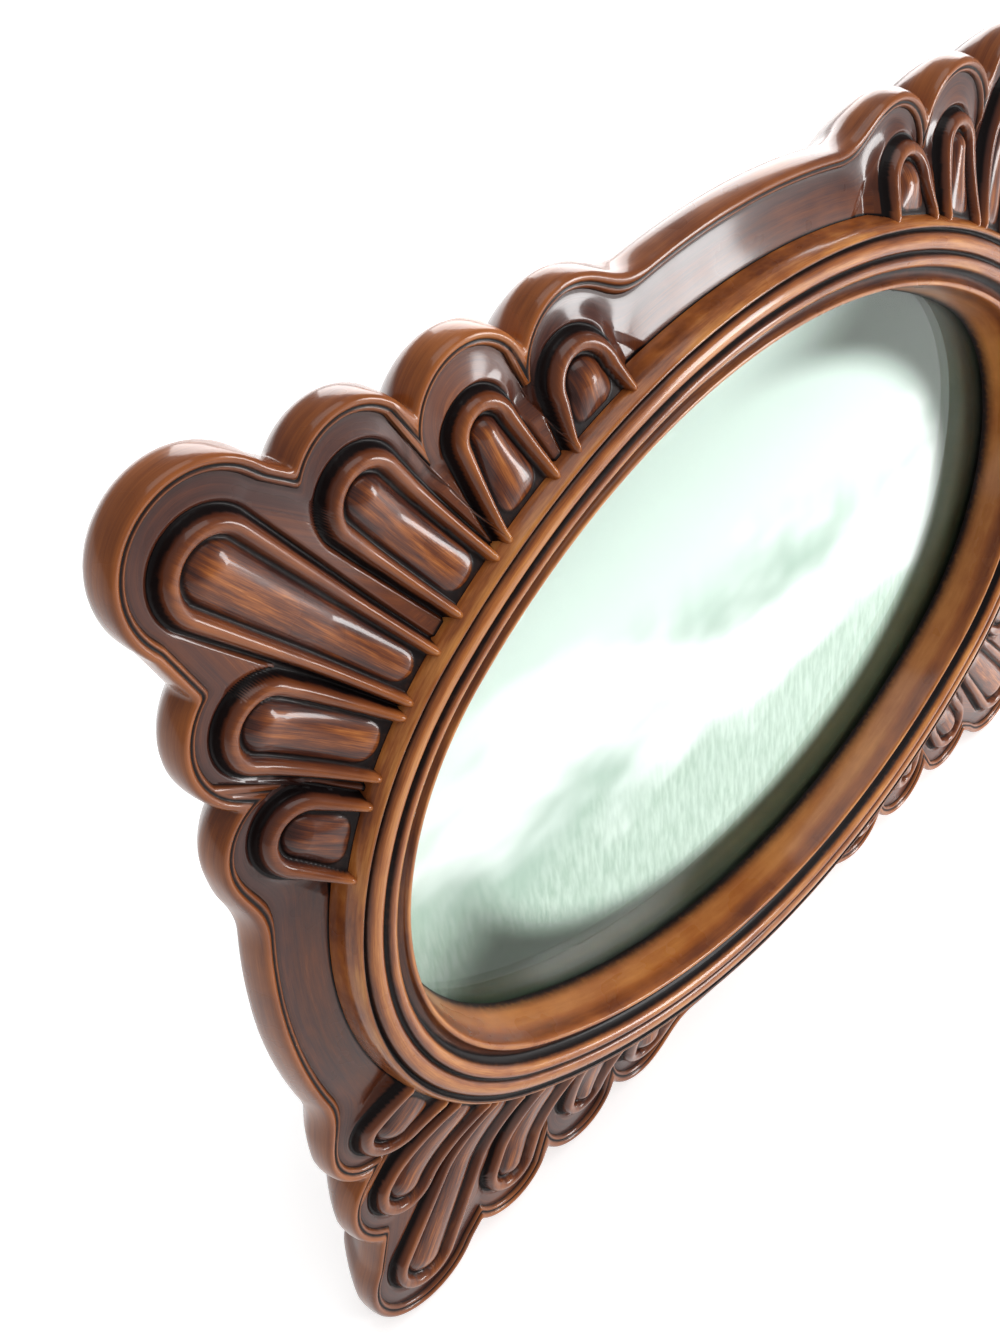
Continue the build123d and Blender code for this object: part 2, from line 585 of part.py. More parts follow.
def rivets(y, seat, depth):
    """A pair of rivets in the hinge's own frame, heads behind a seat."""
    head = slab(Circle(RIVET_HEAD_RADIUS), seat - RIVET_HEAD_HEIGHT, seat)
    head = fillet(head.faces().sort_by(Axis.Z)[0].edges(), RIVET_HEAD_HEIGHT / 2)
    rivet = head + slab(Circle(RIVET_RADIUS), seat, seat + depth)
    return [Pos(side * RIVET_SPACING / 2, y) * rivet for side in (-1, 1)]


def leg_face():
    """The leg seen square on, from below the hinge to past the table."""
    top = -KNUCKLE_RADIUS - LEG_TOP_GAP
    corners = [
        (-LEG_TOP_WIDTH / 2, top),
        (LEG_TOP_WIDTH / 2, top),
        (LEG_FOOT_WIDTH / 2, -LEG_REACH),
        (-LEG_FOOT_WIDTH / 2, -LEG_REACH),
    ]
    face = make_face(Polyline(corners, close=True))
    return fillet(face.vertices().group_by(Axis.Y)[-1], LEG_CORNER_RADIUS)


def leg_layer(front, thickness):
    """One layer of the leg, opened out."""
    return OPEN_LEG * slab(leg_face(), front - thickness, front)


def opened(y, z):
    """Where a point of the folded leg, in the hinge's own frame, lies once the leg is open."""
    turn = radians(LEG_OPEN_ANGLE)
    return HINGE_PLACE_Y + y * cos(turn) - z * sin(turn), HINGE_Z + y * sin(turn) + z * cos(turn)


def ribbon_stay():
    """The ribbon that stops the leg: a tab on the board, the taut run, a tab on the leg."""
    start = HINGE_PLACE_Y - RIBBON_BOARD_REACH
    finish = -RIBBON_LEG_REACH
    edge = RIBBON_THICKNESS
    points = [
        (start - RIBBON_TAB, BACK_Z),
        (start, BACK_Z),
        opened(finish, LEG_FRONT_Z),
        opened(finish - RIBBON_TAB, LEG_FRONT_Z),
        opened(finish - RIBBON_TAB, LEG_FRONT_Z + edge),
        opened(finish - edge, LEG_FRONT_Z + edge),
        (start - edge, BACK_Z - edge),
        (start - RIBBON_TAB, BACK_Z - edge),
    ]
    section = Plane.YZ * make_face(Polyline(points, close=True))
    return extrude(section, RIBBON_WIDTH / 2, both=True)


def staple():
    """A wire staple over the ribbon: its crown behind Z zero, its legs in front."""
    half = RIBBON_WIDTH / 2 + LIFT_CLEARANCE
    outer = Rectangle(2 * (half + STAPLE_WIRE), STAPLE_WIRE)
    crown = slab(outer, -RIBBON_THICKNESS - STAPLE_WIRE, -RIBBON_THICKNESS)
    post = slab(Rectangle(STAPLE_WIRE, STAPLE_WIRE), -RIBBON_THICKNESS, STAPLE_LENGTH)
    posts = [Pos(side * (half + STAPLE_WIRE / 2)) * post for side in (-1, 1)]
    return crown + posts


def ribbon_board_staple():
    """The staple through the ribbon's tab on the back board."""
    return Pos(0, HINGE_PLACE_Y - RIBBON_BOARD_REACH - RIBBON_TAB / 2, BACK_Z) * staple()


def ribbon_leg_staple():
    """The staple through the ribbon's tab on the leg, turned to face it."""
    return OPEN_LEG * Pos(0, -RIBBON_LEG_REACH - RIBBON_TAB / 2, LEG_FRONT_Z) * Rot(180, 0, 0) * staple()


def flat_pieces():
    """Every piece by name, still square to the picture."""
    screws = [turn_button_screw(x, y) for x, y, way in screw_places()]
    nails = [place * nail for place in hanger_places() for nail in hanger_nails()]
    hangers = [place * saw_tooth_hanger() - nails for place in hanger_places()]
    board_rivets = [HINGE * r for r in rivets(RIVET_REACH, HINGE_STANDOFF - LEAF_THICKNESS, BOARD_RIVET_DEPTH)]
    leg_rivets = [OPEN_LEG * r for r in rivets(-RIVET_REACH, LEG_REAR_Z - LEAF_THICKNESS, LEG_RIVET_DEPTH)]
    board_fixings = [*board_rivets, ribbon_board_staple()]
    leg_fixings = [*leg_rivets, ribbon_leg_staple()]
    glass_z = LEDGE_Z - GLASS_THICKNESS
    print_z = glass_z - PRINT_THICKNESS
    filler_z = print_z - FILLER_THICKNESS
    board_z = filler_z - BOARD_THICKNESS
    pieces = {
        "frame_moulding": frame_moulding([*screws, *nails]),
        "glass_pane": sheet(glass_z, GLASS_THICKNESS),
        "photo_print": sheet(print_z, PRINT_THICKNESS),
        "filler_card": sheet(filler_z, FILLER_THICKNESS),
        "back_board": sheet(board_z, BOARD_THICKNESS) - board_fixings,
        "back_board_flock": sheet(BACK_Z, FLOCK_THICKNESS) - board_fixings,
        "easel_leg": leg_layer(LEG_FRONT_Z, LEG_THICKNESS) - leg_fixings,
        "easel_leg_flock": leg_layer(LEG_REAR_Z + LEG_FLOCK_THICKNESS, LEG_FLOCK_THICKNESS) - leg_fixings,
        "hinge_board_leaf": hinge_board_leaf() - board_rivets,
        "hinge_leg_leaf": hinge_leg_leaf() - leg_rivets,
        "hinge_pin": hinge_pin(),
        "hinge_board_rivets": Compound(board_rivets),
        "hinge_leg_rivets": Compound(leg_rivets),
        "ribbon_stay": ribbon_stay(),
        "ribbon_board_staple": ribbon_board_staple(),
        "ribbon_leg_staple": ribbon_leg_staple(),
        "turn_button_screws": Compound(screws),
        "hanger_top": hangers[0],
        "hanger_side": hangers[1],
        "hanger_nails": Compound(nails),
    }
    names = ["top_left", "top_right", "bottom_left", "bottom_right"]
    for name, (x, y, way) in zip(names, screw_places()):
        pieces["turn_button_" + name] = turn_button(x, y, way)
    return pieces


def standing_pieces():
    """Every piece leaned back on the table, its foot cut level, the set centred front to back."""
    pieces = {name: LEAN * piece for name, piece in flat_pieces().items()}
    for name in ("easel_leg", "easel_leg_flock"):
        pieces[name] = split(pieces[name], Plane.XY, keep=Keep.TOP)
    box = Compound(list(pieces.values())).bounding_box()
    centre = Pos(0, -(box.min.Y + box.max.Y) / 2)
    return {name: centre * piece for name, piece in pieces.items()}, centre


def main():
    os.makedirs("parts", exist_ok=True)
    pieces, centre = standing_pieces()
    for name, piece in pieces.items():
        export_step(piece, os.path.join("parts", name + ".step"))


if __name__ == "__main__":
    main()
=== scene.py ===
"""Looks of the oval picture frame: carved casting, glass, picture, boards, hardware, ribbon, floor, lights, camera."""
from math import atan2, cos, hypot, pi, radians, sin

import bpy
import numpy as np
from mathutils import Matrix, Vector

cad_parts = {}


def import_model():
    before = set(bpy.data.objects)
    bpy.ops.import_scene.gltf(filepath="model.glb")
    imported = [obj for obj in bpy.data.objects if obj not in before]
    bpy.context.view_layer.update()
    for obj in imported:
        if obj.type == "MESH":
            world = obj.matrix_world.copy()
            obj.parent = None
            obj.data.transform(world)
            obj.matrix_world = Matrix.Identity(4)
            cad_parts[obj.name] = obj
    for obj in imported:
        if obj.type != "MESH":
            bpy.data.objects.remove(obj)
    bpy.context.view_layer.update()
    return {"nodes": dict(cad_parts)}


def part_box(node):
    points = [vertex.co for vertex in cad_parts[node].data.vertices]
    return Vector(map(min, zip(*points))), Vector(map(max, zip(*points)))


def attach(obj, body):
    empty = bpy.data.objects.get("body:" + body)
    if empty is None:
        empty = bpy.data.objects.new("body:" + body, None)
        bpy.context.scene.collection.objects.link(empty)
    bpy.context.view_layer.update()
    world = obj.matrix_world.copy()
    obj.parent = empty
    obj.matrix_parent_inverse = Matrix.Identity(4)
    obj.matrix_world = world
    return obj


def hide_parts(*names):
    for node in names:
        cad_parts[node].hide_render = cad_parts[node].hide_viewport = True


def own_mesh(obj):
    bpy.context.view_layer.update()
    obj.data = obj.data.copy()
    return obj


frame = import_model()
NODES = frame["nodes"]

# Sizes in millimetres, square to the picture: u to the right, v up, w towards the viewer from the rim's crest
MM = 0.001
LEAN = radians(16.0)
LEDGE_DEPTH = 4.2
GLASS_THICKNESS = 2.0
BACK_W = -10.5
POCKET_HALF_WIDTH = 89.3
POCKET_HALF_HEIGHT = 63.9
SIGHT_HALF_WIDTH = 82.5
SIGHT_HALF_HEIGHT = 57.1
SIGHT_END_RADIUS = 45.0
FOOT_RUN = 13.6
FOOT_W = 0.7
FIELD_START = 12.8
SIDE_REACH = 105.3
TOP_REACH = 80.4
SIDE_BOW = 16.0
TOP_BOW = 12.0
RAIL_RISE = 3.4
TOP_RAIL_RADIUS = 127.0
TOP_RAIL_SPAN = 33.55
SIDE_RAIL_RADIUS = 85.0
SIDE_RAIL_SPAN = 28.96
SHOULDER_BLEND = 7.0
NOTCH_BLEND = 0.7
RIM_WIDTH = 2.2

# Scallops of the outline's upper right corner: centre and radius, and the corner's own: tip, radius, root, half width
CORNER_SCALLOP = ((94.4, 73.0), 12.2, (74.0, 45.9), 22.0)
SHARP_SCALLOPS = [((73.5, 72.3), 10.2), ((54.8, 72.2), 10.3), ((93.7, 49.9), 11.6)]
TOP_SHOULDER = ((36.75, 72.6), 9.9)
SIDE_SHOULDER = ((95.8, 32.2), 9.5)

# Shell lobes in that corner: tip centre, tip radius, root centre, root half width
LOBES = [
    ((94.5, 71.9), 6.9, (74.0, 45.9), 4.4),
    ((73.2, 69.9), 6.1, (62.9, 53.4), 5.1),
    ((54.3, 69.5), 5.2, (51.7, 59.3), 6.0),
    ((37.6, 69.5), 6.1, (36.9, 65.0), 6.7),
    ((94.0, 49.5), 6.4, (81.2, 39.0), 5.0),
    ((94.1, 32.1), 6.1, (88.9, 28.1), 6.0),
]
RIDGE_ROOT_WIDTH = 1.6
RIDGE_TIP_WIDTH = 2.5
PAD_GAP = 0.5
GROOVE_ROOT_WIDTH = 0.9
GROOVE_TIP_WIDTH = 1.3
LOBE_BASE = -0.1
LOBE_ROOT_RISE = 3.8
FIELD_FOLLOW = 0.9
LOBE_RISE_RUN = 15.0
GROOVE_DROP = 1.3
RIDGE_FOOT_WIDTH = 0.5
RIDGE_DROP = 0.4
RIDGE_RISE = 1.5
PAD_ROOT_RISE = 0.7
PAD_TIP_RISE = 1.6
PAD_ROOT_GAP = 0.45
PAD_CORNER_BLEND = 3.0
ROOT_RUB_RUN = 1.6

# Field between the rim and the oval moulding
CHANNEL_RUN = 2.6
CHANNEL_W = -1.1
RAIL_FIELD_RISE = 1.7
SHELL_FIELD_RISE = 0.6
SHELL_REACH = (10.5, 14.0)
FIELD_RUN = 7.0
FOOT_GROOVE_DEPTH = 0.5
FOOT_GROOVE_WIDTH = 0.3

# Section of the oval moulding: run outwards from the sight edge, against height
INNER_WALL = [(0, -LEDGE_DEPTH), (0.35, -2.8), (0.8, -1.0), (1.3, 0.9), (1.8, 2.6), (2.15, 3.7)]
LIP_BEAD = ((2.35, 4.2), (3.5, 4.3), 4.8, 6)
COVE = [(3.5, 4.3), (3.9, 3.95), (4.4, 3.75), (4.9, 3.7)]
INNER_BEAD = ((5.2, 3.6), (8.0, 4.6), 6.15, 9)
MIDDLE_BEAD = ((8.0, 4.6), (11.5, 4.2), 6.2, 10)
OUTER_BEAD = ((11.5, 4.2), (FOOT_RUN, 1.2), 5.4, 9)
BEAD_LINES = [(5.2, 0.6), (8.0, 0.5), (11.5, 0.55)]
BEAD_CRESTS = [(2.8, 0.6), (6.3, 0.9), (9.6, 1.1), (12.4, 0.7)]

# Sections of the rim and the outer wall: distance outside the outline, height, and the share of the wall's swell
RIM_SECTION = [
    (-1.95, -0.75), (-1.75, -0.4), (-1.5, -0.38), (-1.3, -0.6), (-1.1, -0.32), (-0.8, -0.04), (-0.45, 0.0),
    (-0.1, -0.2),
]
WALL_SECTION = [
    (0.12, -0.6, 0.1), (0.22, -1.4, 0.35), (0.25, -2.4, 0.65), (0.2, -3.5, 0.85), (0.0, -4.4, 1.0),
    (-0.5, -5.4, 1.0), (-1.2, -6.6, 0.9), (-2.1, -7.9, 0.7), (-3.1, -9.2, 0.4), (-3.8, -10.1, 0.1),
    (-4.2, BACK_W, 0.0),
]
TOP_RAIL_SWELL = 0.9
SIDE_RAIL_SWELL = 1.3
SCALLOP_SWELL = 0.6

# Glass: how far it reaches under the ledge, its gap from what it touches, and its ground edge
GLASS_OVERLAP = 6.4
GLASS_GAP = 0.08
GLASS_ARRIS = 0.3

# Ribbon that stops the leg, on the frame's middle line: board tab, run and leg tab as (v, w) corners
RIBBON_WIDTH = 10.0
RIBBON_THICKNESS = 0.4
RIBBON_CORNERS = [(-41.0, -10.7), (-34.1, -10.7), (-33.65, -52.75), (-39.6, -56.2)]
RIBBON_STEP = 0.25
RIBBON_BEND = 1.6
RIBBON_ACROSS = 8

QUARTER_COLUMNS = 500
FIELD_ROWS = 165
CORNERS = {"top_right": (1, 1), "top_left": (-1, 1), "bottom_left": (-1, -1), "bottom_right": (1, -1)}

GLASS_LOW, GLASS_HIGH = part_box("glass_pane")
UP = Vector((0, sin(LEAN), cos(LEAN)))
FRONT = Vector((0, -cos(LEAN), sin(LEAN)))
CENTRE = (GLASS_LOW + GLASS_HIGH) / 2 + FRONT * (LEDGE_DEPTH + GLASS_THICKNESS / 2) * MM


def stand(u, v, w):
    """Points in metres, leaned back with the frame, of points given in millimetres square to the picture."""
    flat = np.stack([u, v * UP.y + w * FRONT.y, v * UP.z + w * FRONT.z], axis=-1)
    return flat * MM + np.array(CENTRE)


def turned(direction):
    """A direction given square to the picture, leaned back with the frame."""
    u, v, w = direction
    return Vector((u, 0, 0)) + UP * v + FRONT * w


def smooth(x, low, high):
    """Smooth step from 0 at low to 1 at high."""
    t = np.clip((x - low) / (high - low), 0, 1)
    return t * t * (3 - 2 * t)


def hump(x, middle, width):
    """A soft hump of height 1 at its middle."""
    return np.exp(-(((x - middle) / width) ** 2))


def blended(a, b, width):
    """Smaller of two distances, rounded where they meet."""
    h = np.maximum(width - np.abs(a - b), 0) / width
    return np.minimum(a, b) - h * h * width / 4


# The casting's shape


def oval_columns():
    """Points on a quarter of the sight edge, their outward directions, and how far round they lie."""
    end_centre = SIGHT_HALF_WIDTH - SIGHT_END_RADIUS
    long_radius = (end_centre**2 + SIGHT_HALF_HEIGHT**2 - SIGHT_END_RADIUS**2) / (
        2 * (SIGHT_HALF_HEIGHT - SIGHT_END_RADIUS)
    )
    long_centre = long_radius - SIGHT_HALF_HEIGHT
    joint = atan2(long_centre, end_centre)
    end_length = (SIGHT_END_RADIUS + FOOT_RUN) * joint
    length = end_length + (long_radius + FOOT_RUN) * (pi / 2 - joint)
    fine = np.linspace(0, length, 4 * QUARTER_COLUMNS)
    weight = 0.25 + smooth(fine, 0.08 * length, 0.16 * length) * smooth(-fine, -0.86 * length, -0.78 * length)
    filled = np.concatenate([[0], np.cumsum((weight[1:] + weight[:-1]) / 2)])
    places = np.linspace(0, filled[-1], QUARTER_COLUMNS + 1)
    around = np.interp(places, filled, fine)
    on_end = around <= end_length
    angle = np.where(
        on_end,
        around / (SIGHT_END_RADIUS + FOOT_RUN),
        joint + (around - end_length) / (long_radius + FOOT_RUN),
    )
    nu, nv = np.cos(angle), np.sin(angle)
    u = np.where(on_end, end_centre + SIGHT_END_RADIUS * nu, long_radius * nu)
    v = np.where(on_end, SIGHT_END_RADIUS * nv, long_radius * nv - long_centre)
    return u, v, nu, nv, around


def slot_place(slot, u, v):
    """How far inside a lobe-shaped slot a point lies, its share of the way to the tip, half width, along, across."""
    (tip_u, tip_v), tip_radius, (root_u, root_v), root_radius = slot
    length = hypot(tip_u - root_u, tip_v - root_v)
    along_u, along_v = (tip_u - root_u) / length, (tip_v - root_v) / length
    along = (u - root_u) * along_u + (v - root_v) * along_v
    across = (v - root_v) * along_u - (u - root_u) * along_v
    share = np.clip(along / length, 0, 1)
    half = root_radius + (tip_radius - root_radius) * share
    past = np.maximum(along - length, 0)
    return half - np.hypot(past, across), share, half, along, across


def disc(place, radius, u, v):
    """Distance outside a disc."""
    return np.hypot(u - place[0], v - place[1]) - radius


def outline_distance(u, v):
    """Distance outside the frame's outline, negative inside it."""
    body_side, body_top = SIDE_REACH - RAIL_RISE, TOP_REACH - RAIL_RISE
    top_radius = ((body_side - SIDE_BOW) ** 2 + TOP_BOW**2) / (2 * TOP_BOW)
    side_radius = ((body_top - TOP_BOW) ** 2 + SIDE_BOW**2) / (2 * SIDE_BOW)
    top = disc((0, body_top - top_radius), top_radius, u, v)
    side = disc((body_side - side_radius, 0), side_radius, u, v)
    found = np.maximum(top, side)
    top_rail = np.maximum(disc((0, TOP_REACH - TOP_RAIL_RADIUS), TOP_RAIL_RADIUS, u, v), u - TOP_RAIL_SPAN)
    side_rail = np.maximum(disc((SIDE_REACH - SIDE_RAIL_RADIUS, 0), SIDE_RAIL_RADIUS, u, v), v - SIDE_RAIL_SPAN)
    found = np.minimum(found, blended(top_rail, disc(*TOP_SHOULDER, u, v), SHOULDER_BLEND))
    found = np.minimum(found, blended(side_rail, disc(*SIDE_SHOULDER, u, v), SHOULDER_BLEND))
    for place, radius in SHARP_SCALLOPS:
        found = blended(found, disc(place, radius, u, v), NOTCH_BLEND)
    return blended(found, -slot_place(CORNER_SCALLOP, u, v)[0], NOTCH_BLEND)


def reach(columns, level):
    """How far out along each column the outline's distance takes a given level."""
    u, v, nu, nv, around = columns
    low = np.full_like(u, FOOT_RUN)
    high = np.full_like(u, SIDE_REACH)
    for _ in range(40):
        middle = (low + high) / 2
        outside = outline_distance(u + nu * middle, v + nv * middle) > level
        high = np.where(outside, middle, high)
        low = np.where(outside, low, middle)
    return low


def bead(start, end, crest, count):
    """Points of a half-round bead between two (run, height) feet, the last one left out."""
    x = np.linspace(-1, 1, count + 1)[:-1]
    share = (x + 1) / 2
    foot = start[1] + (end[1] - start[1]) * share
    middle = (start[1] + end[1]) / 2
    rise = (crest - middle) * np.sqrt(np.maximum(1 - np.abs(x) ** 2.2, 0))
    return list(zip(start[0] + (end[0] - start[0]) * share, foot + rise))


def moulding_section():
    """Section of the oval moulding, from the sight edge to its foot."""
    beads = bead(*INNER_BEAD) + bead(*MIDDLE_BEAD) + bead(*OUTER_BEAD)
    return np.array(INNER_WALL + bead(*LIP_BEAD) + COVE + beads + [(FOOT_RUN, FOOT_W)])


def field_relief(u, v, from_foot, from_rim, in_shell):
    """Height, stain, tone, flow and grain of the field and its shell lobes."""
    rise = np.clip((from_rim - CHANNEL_RUN) / FIELD_RUN, 0, 1)
    most = RAIL_FIELD_RISE + (SHELL_FIELD_RISE - RAIL_FIELD_RISE) * in_shell
    field = CHANNEL_W + most * (0.6 * rise + 0.4 * smooth(rise, 0, 1))
    field = field + FIELD_FOLLOW * root_rise(from_foot) * in_shell * smooth(rise, 0, 0.5)
    dip = hump(from_foot, 0, FOOT_GROOVE_WIDTH)
    height = field - FOOT_GROOVE_DEPTH * dip
    # Painted shade: the dark hump in the channel by the rim, and the lower tone towards the rim, darken the field where
    # the rim shades it
    stain_and_shade = np.maximum(dip, 0.42 * hump(from_rim, CHANNEL_RUN - 0.3, 0.7))
    tone = 0.30 + 0.10 * smooth(rise, 0.1, 0.6)
    along, across = np.zeros_like(u), np.zeros_like(u)
    best = np.full_like(u, -1e9)
    for number, lobe in enumerate(LOBES):
        inside, share, half, lobe_along, lobe_across = slot_place(lobe, u, v)
        mine = inside > best
        best = np.where(mine, inside, best)
        relief, dark, rubbed = lobe_relief(inside, share, half, from_foot, field)
        near = mine & (inside > -GROOVE_TIP_WIDTH)
        height = np.where(mine, relief, height)
        stain_and_shade = np.where(near, np.maximum(dark, np.where(inside > 0, 0, stain_and_shade)), stain_and_shade)
        tone = np.where(near & (inside > 0), rubbed, tone)
        along = np.where(near, lobe_along + 100 * number, along)
        across = np.where(near, lobe_across, across)
    return height, stain_and_shade, tone, along, across, best


def root_rise(from_foot):
    """How far the shell is raised towards the foot of the oval moulding."""
    return LOBE_ROOT_RISE * np.clip(1 - from_foot / LOBE_RISE_RUN, 0, 1) ** 1.5


def lobe_relief(inside, share, half, from_foot, field):
    """Height, stain and tone of one lobe: groove round it, half-round ridge, narrow groove, domed pad."""
    base = LOBE_BASE + root_rise(from_foot)
    width = GROOVE_ROOT_WIDTH + (GROOVE_TIP_WIDTH - GROOVE_ROOT_WIDTH) * share
    out = np.clip(-inside / width, 0, 1)
    floor = base - GROOVE_DROP
    height = floor + (field - floor) * smooth(out, 0.5, 1.0)
    height = height + (GROOVE_DROP - RIDGE_DROP) * smooth(inside, -RIDGE_FOOT_WIDTH, 0.0)
    stain_and_shade = 1 - smooth(out, 0.5, 0.8)
    ridge_width = RIDGE_ROOT_WIDTH + (RIDGE_TIP_WIDTH - RIDGE_ROOT_WIDTH) * share
    x = np.clip(2 * inside / ridge_width - 1, -1, 1)
    on_ridge = (inside > 0) & (inside <= ridge_width)
    ridge = base - RIDGE_DROP + RIDGE_RISE * (1 - np.abs(x) ** 2.5) ** 0.65
    height = np.where(on_ridge, ridge, height)
    stain_and_shade = np.where(on_ridge, 0.7 * np.abs(x) ** 9, stain_and_shade)
    root_rub = 0.14 * np.exp(-np.maximum(from_foot - PAD_ROOT_GAP, 0) / ROOT_RUB_RUN)
    tone = 0.34 + 0.20 * (1 - np.abs(x) ** 1.5) + root_rub
    pad_half = np.maximum(half - ridge_width - PAD_GAP, 0.5)
    past = blended(inside - ridge_width - PAD_GAP, from_foot - PAD_ROOT_GAP, PAD_CORNER_BLEND)
    dome = np.clip(past / pad_half, 0, 1)
    on_pad = inside > ridge_width
    pad_rise = PAD_ROOT_RISE + (PAD_TIP_RISE - PAD_ROOT_RISE) * share
    height = np.where(on_pad, base - RIDGE_DROP + pad_rise * (1 - (1 - dome) ** 2.2) ** 0.8, height)
    stain_and_shade = np.where(on_pad, 0.75 * (1 - smooth(dome, 0.0, 0.14)), stain_and_shade)
    tone = np.where(on_pad, 0.32 + 0.16 * smooth(dome, 0.2, 0.7) + root_rub, tone)
    return height, stain_and_shade, tone


def all_round(quarter, flip_u=1, flip_v=1):
    """A quarter's columns carried round the other three corners, with the signs that mirroring gives."""
    parts = [
        quarter,
        flip_u * quarter[:, -2::-1],
        flip_u * flip_v * quarter[:, 1:],
        flip_v * quarter[:, -2:0:-1],
    ]
    return np.concatenate(parts, axis=1)


def casting_piece(name, u, v, w, stain_and_shade, tone, flow, closed):
    """A mesh from rows of points, closed all round or open, with its stain, tone and grain."""
    rows, columns = u.shape
    points = stand(u, v, w).reshape(-1, 3)
    points[:, 2] = np.maximum(points[:, 2], 0)
    r, c = np.meshgrid(np.arange(rows - 1), np.arange(columns if closed else columns - 1), indexing="ij")
    d = (c + 1) % columns
    faces = np.stack([r * columns + c, (r + 1) * columns + c, (r + 1) * columns + d, r * columns + d], -1)
    mesh = bpy.data.meshes.new(name)
    mesh.from_pydata(points.tolist(), [], faces.reshape(-1, 4).tolist())
    mesh.polygons.foreach_set("use_smooth", np.ones(len(mesh.polygons), bool))
    for key, values in (("stain_and_shade", stain_and_shade), ("tone", tone)):
        layer = mesh.attributes.new(key, "FLOAT", "POINT")
        layer.data.foreach_set("value", values.astype(np.float32).ravel())
    layer = mesh.attributes.new("flow", "FLOAT_VECTOR", "POINT")
    layer.data.foreach_set("vector", np.stack(flow, -1).astype(np.float32).ravel())
    lay_out(mesh, r, c, rows, columns if closed else columns - 1, 4 if closed else 1)
    piece = bpy.data.objects.new(name, mesh)
    bpy.context.scene.collection.objects.link(piece)
    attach(piece, "frame")
    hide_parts("frame_moulding")
    return piece


def ring_piece(name, u, v, w, stain_and_shade, tone, along, across, grain):
    """A piece from rows of a quarter's points, carried all round."""
    others = [all_round(np.broadcast_to(values, u.shape)) for values in (stain_and_shade, tone, along, across, grain)]
    around = [all_round(u, -1, 1), all_round(v, 1, -1), all_round(w)]
    return casting_piece(name, *around, others[0], others[1], others[2:], True)


def corner_pieces(name, u, v, w, stain_and_shade, tone, along, across, grain):
    """Four pieces from rows of a quarter's points, one for each corner."""
    made = []
    for corner, (side_u, side_v) in CORNERS.items():
        way = side_u * side_v
        rows = [values[:, ::way] for values in (side_u * u, side_v * v, w, stain_and_shade, tone)]
        flow = [values[:, ::way] for values in (along, across, grain)]
        made.append(casting_piece(f"{name}_{corner}", *rows, flow, False))
    return made


def lay_out(mesh, r, c, rows, columns, bands):
    """A map with the piece cut into bands, one above the other."""
    band = columns // bands
    corners = []
    for row, column in ((r, c), (r + 1, c), (r + 1, c + 1), (r, c + 1)):
        part = c // band
        across = 0.01 + 0.98 * (column - part * band) / band
        up = (part + 0.02 + 0.96 * row / (rows - 1)) / bands
        corners.append(np.stack([across, up], -1))
    layer = mesh.uv_layers.new(name="OFBake")
    layer.data.foreach_set("uv", np.stack(corners, 2).astype(np.float32).ravel())


def oval_moulding(columns):
    """The beaded oval with its smooth inner wall."""
    u, v, nu, nv, around = columns
    section = moulding_section()
    run = section[:, 0:1]
    w = np.broadcast_to(section[:, 1:2], (len(section), len(u)))
    # Darker in the cove behind the lip; the hump at the sight edge is painted shade at the inner wall's foot by the
    # glass
    stain_and_shade = 0.45 * smooth(run, 3.4, 4.2) * smooth(-run, -5.4, -4.6) + 0.9 * hump(run, 0, 0.45)
    for place, width in BEAD_LINES:
        stain_and_shade = np.maximum(stain_and_shade, hump(run, place, width))
    tone = 0.40 + 0.34 * smooth(-run, -2.2, -1.2) + 0.22 * smooth(run, 11.8, 12.6)
    for place, width in BEAD_CRESTS:
        tone = np.maximum(tone, 0.40 + 0.34 * hump(run, place, width))
    grain = 0.55 - 0.35 * smooth(-run, -3.0, -1.8) + 0.25 * smooth(run, 11.8, 12.6)
    return ring_piece("oval_moulding", u + nu * run, v + nv * run, w, stain_and_shade, tone, around, run, grain)


def shell_field(columns):
    """The field with its four shells, from the foot of the oval moulding to the rim."""
    u, v, nu, nv, around = columns
    steps = np.linspace(0, 1, FIELD_ROWS)
    share = (0.75 * steps + 0.25 * smooth(steps, -0.6, 1.1) / smooth(1.0, -0.6, 1.1))[:, None]
    share = (share - share[0]) / (share[-1] - share[0])
    run = FIELD_START + (reach(columns, -RIM_WIDTH) - FIELD_START) * share
    pu, pv = u + nu * run, v + nv * run
    from_rim = -outline_distance(pu, pv)
    in_shell = smooth(run[-1] - FOOT_RUN, *SHELL_REACH)
    relief = field_relief(pu, pv, run - FOOT_RUN, from_rim, in_shell)
    height, stain_and_shade, tone, lobe_along, lobe_across, inside = relief
    on_lobe = inside > -GROOVE_TIP_WIDTH
    along = np.where(on_lobe, lobe_along, around + 1000)
    across = np.where(on_lobe, lobe_across, from_rim)
    on_pad = smooth(inside, RIDGE_ROOT_WIDTH, RIDGE_TIP_WIDTH + PAD_GAP)
    grain = np.where(on_lobe, 0.3 * smooth(inside, 0, 0.8) + 0.7 * on_pad, 0.45)
    return corner_pieces("shell_field", pu, pv, height, stain_and_shade, tone, along, across, grain), height[-1]


